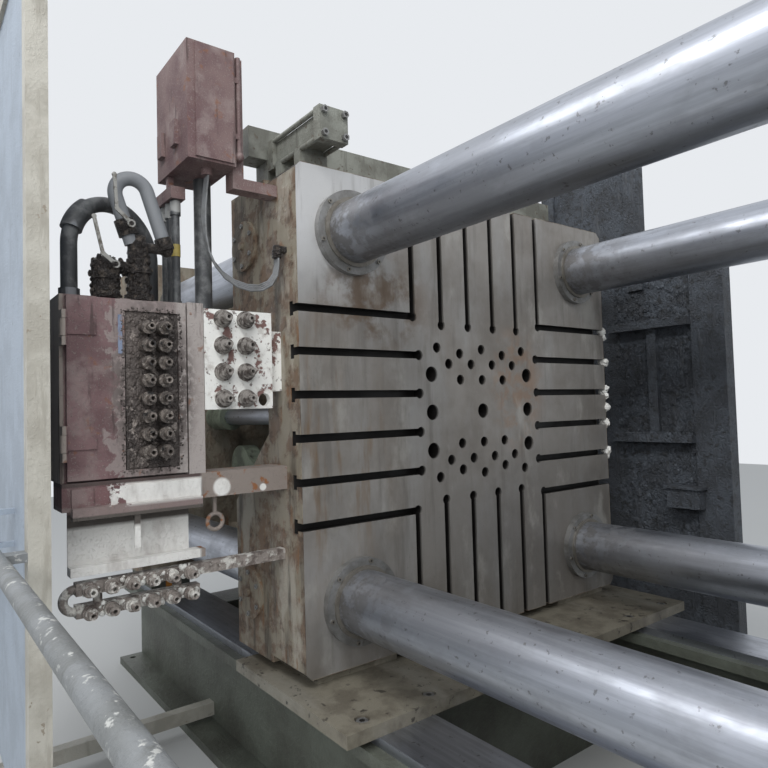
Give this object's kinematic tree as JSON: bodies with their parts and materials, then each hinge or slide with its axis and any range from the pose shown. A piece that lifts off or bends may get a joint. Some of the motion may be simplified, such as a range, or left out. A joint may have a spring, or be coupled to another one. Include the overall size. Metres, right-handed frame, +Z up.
{
  "type": "die casting machine closing unit",
  "caption": "Closing unit of a cold-chamber die casting machine: slotted platens on tie bars, toggle linkage, base, coupling cabinet and guards.",
  "frame": {"origin": "on the floor, under the die face of the fixed platen, on the machine's middle plane", "axes": "+X along the tie bars from the moving platen towards the fixed platen, +Y away from the operator's side, +Z up"},
  "size_m": [5.8088, 3.0739, 2.9],
  "materials": {
    "platen_steel": "machined and stained",
    "platen_paint": "worn green-grey paint over rust",
    "bar_steel": "ground and polished",
    "nut_steel": "turned steel",
    "base_paint": "grimy machine paint",
    "carrier_steel": "oily steel",
    "link_paint": "machine paint",
    "cabinet_paint": "brown paint with grey spatter",
    "coupling_steel": "grimy plated steel",
    "plate_paint": "white residue over brown paint",
    "post_paint": "worn beige paint",
    "panel_paint": "light blue paint",
    "dark_paint": "dark blue-grey paint with grime",
    "valve_body": "tarry black valves",
    "hose_rubber": "smooth grey-black hose rubber",
    "cable_jacket": "grey cable jacket",
    "lever_steel": "flat zinc-plated steel"
  },
  "bodies": {
    "machine_frame": {"fixed_platen": "platen_steel", "link_platen": "platen_paint", "rear_lugs": "platen_paint", "tie_bar_upper_left": "bar_steel", "tie_bar_upper_right": "bar_steel", "tie_bar_lower_left": "bar_steel", "tie_bar_lower_right": "bar_steel", "bar_nuts": "nut_steel", "base_beams": "base_paint", "base_cross_members": "base_paint", "slide_ways": "bar_steel", "platen_feet": "base_paint", "guide_rods": "bar_steel", "closing_cylinder": "link_paint", "guard_posts": "post_paint", "guard_panel": "panel_paint", "hand_rail": "nut_steel", "rear_guard": "dark_paint"},
    "moving_unit": {"moving_platen": "platen_steel", "platen_ribs": "platen_paint", "front_lugs": "platen_paint", "bar_collars": "nut_steel", "carrier_plate": "carrier_steel", "ejector_unit": "link_paint", "support_arm": "cabinet_paint", "cabinet": "cabinet_paint", "coupling_bank": "coupling_steel", "coupling_plate": "plate_paint", "valve_stack": "valve_body", "hoses": "hose_rubber", "sensor_cables": "cable_jacket", "water_bars": "coupling_steel", "junction_box": "cabinet_paint", "top_cylinder": "link_paint", "top_beam": "link_paint"},
    "crosshead": {"crosshead": "link_paint"},
    "cabinet_door": {"cabinet_door": "cabinet_paint"},
    "valve_lever_left": {"valve_lever_left": "lever_steel"},
    "valve_lever_right": {"valve_lever_right": "lever_steel"},
    "upper_drive_link": {"upper_drive_link": "link_paint"},
    "lower_drive_link": {"lower_drive_link": "link_paint"},
    "upper_rear_link": {"upper_rear_link": "link_paint"},
    "lower_rear_link": {"lower_rear_link": "link_paint"},
    "upper_front_link": {"upper_front_link": "link_paint"},
    "lower_front_link": {"lower_front_link": "link_paint"}
  },
  "joints": [
    {"name": "clamp_slide", "type": "slide", "parent": "machine_frame", "child": "moving_unit", "axis": [1, 0, 0], "range_m": [0, 1]},
    {"name": "crosshead_slide", "type": "slide", "parent": "machine_frame", "child": "crosshead", "axis": [1, 0, 0], "range_m": [0, 0.7269]},
    {"name": "cabinet_door_hinge", "type": "hinge", "parent": "moving_unit", "child": "cabinet_door", "pos_m": [-2.094, -1.594, 1.6], "axis": [0, 0, -1], "range_deg": [0, 90]},
    {"name": "left_valve_turn", "type": "hinge", "parent": "moving_unit", "child": "valve_lever_left", "pos_m": [-2.095, -1.449, 1.974], "axis": [1, 0, 0], "range_deg": [0, 90]},
    {"name": "right_valve_turn", "type": "hinge", "parent": "moving_unit", "child": "valve_lever_right", "pos_m": [-2.095, -1.40258, 2.1043], "axis": [-1, 0, 0], "range_deg": [0, 90]},
    {"name": "upper_rear_link_pivot", "type": "hinge", "parent": "machine_frame", "child": "upper_rear_link", "pos_m": [-3.08881, 0, 2.26], "axis": [0, -1, 0], "range_deg": [0, 121.04]},
    {"name": "upper_front_link_pivot", "type": "hinge", "parent": "moving_unit", "child": "upper_front_link", "pos_m": [-2.58, 0, 2.2], "axis": [0, 1, 0], "range_deg": [0, 29.45]},
    {"name": "upper_drive_link_pivot", "type": "hinge", "parent": "crosshead", "child": "upper_drive_link", "pos_m": [-3.62881, 0, 1.67], "axis": [0, -1, 0], "range_deg": [0, 20.73]},
    {"name": "lower_rear_link_pivot", "type": "hinge", "parent": "machine_frame", "child": "lower_rear_link", "pos_m": [-3.08881, 0, 0.74], "axis": [0, 1, 0], "range_deg": [0, 121.04]},
    {"name": "lower_front_link_pivot", "type": "hinge", "parent": "moving_unit", "child": "lower_front_link", "pos_m": [-2.58, 0, 0.8], "axis": [0, -1, 0], "range_deg": [0, 29.45]},
    {"name": "lower_drive_link_pivot", "type": "hinge", "parent": "crosshead", "child": "lower_drive_link", "pos_m": [-3.62881, 0, 1.33], "axis": [0, 1, 0], "range_deg": [0, 20.73]}
  ],
  "couplings": [
    {"joint": "crosshead_slide", "follows": "clamp_slide", "ratio": 0.7269},
    {"joint": "upper_rear_link_pivot", "follows": "clamp_slide", "rad_per_m": 2.1125},
    {"joint": "upper_front_link_pivot", "follows": "clamp_slide", "rad_per_m": 0.514},
    {"joint": "upper_drive_link_pivot", "follows": "clamp_slide", "rad_per_m": 0.3619},
    {"joint": "lower_rear_link_pivot", "follows": "clamp_slide", "rad_per_m": 2.1125},
    {"joint": "lower_front_link_pivot", "follows": "clamp_slide", "rad_per_m": 0.514},
    {"joint": "lower_drive_link_pivot", "follows": "clamp_slide", "rad_per_m": 0.3619}
  ]
}
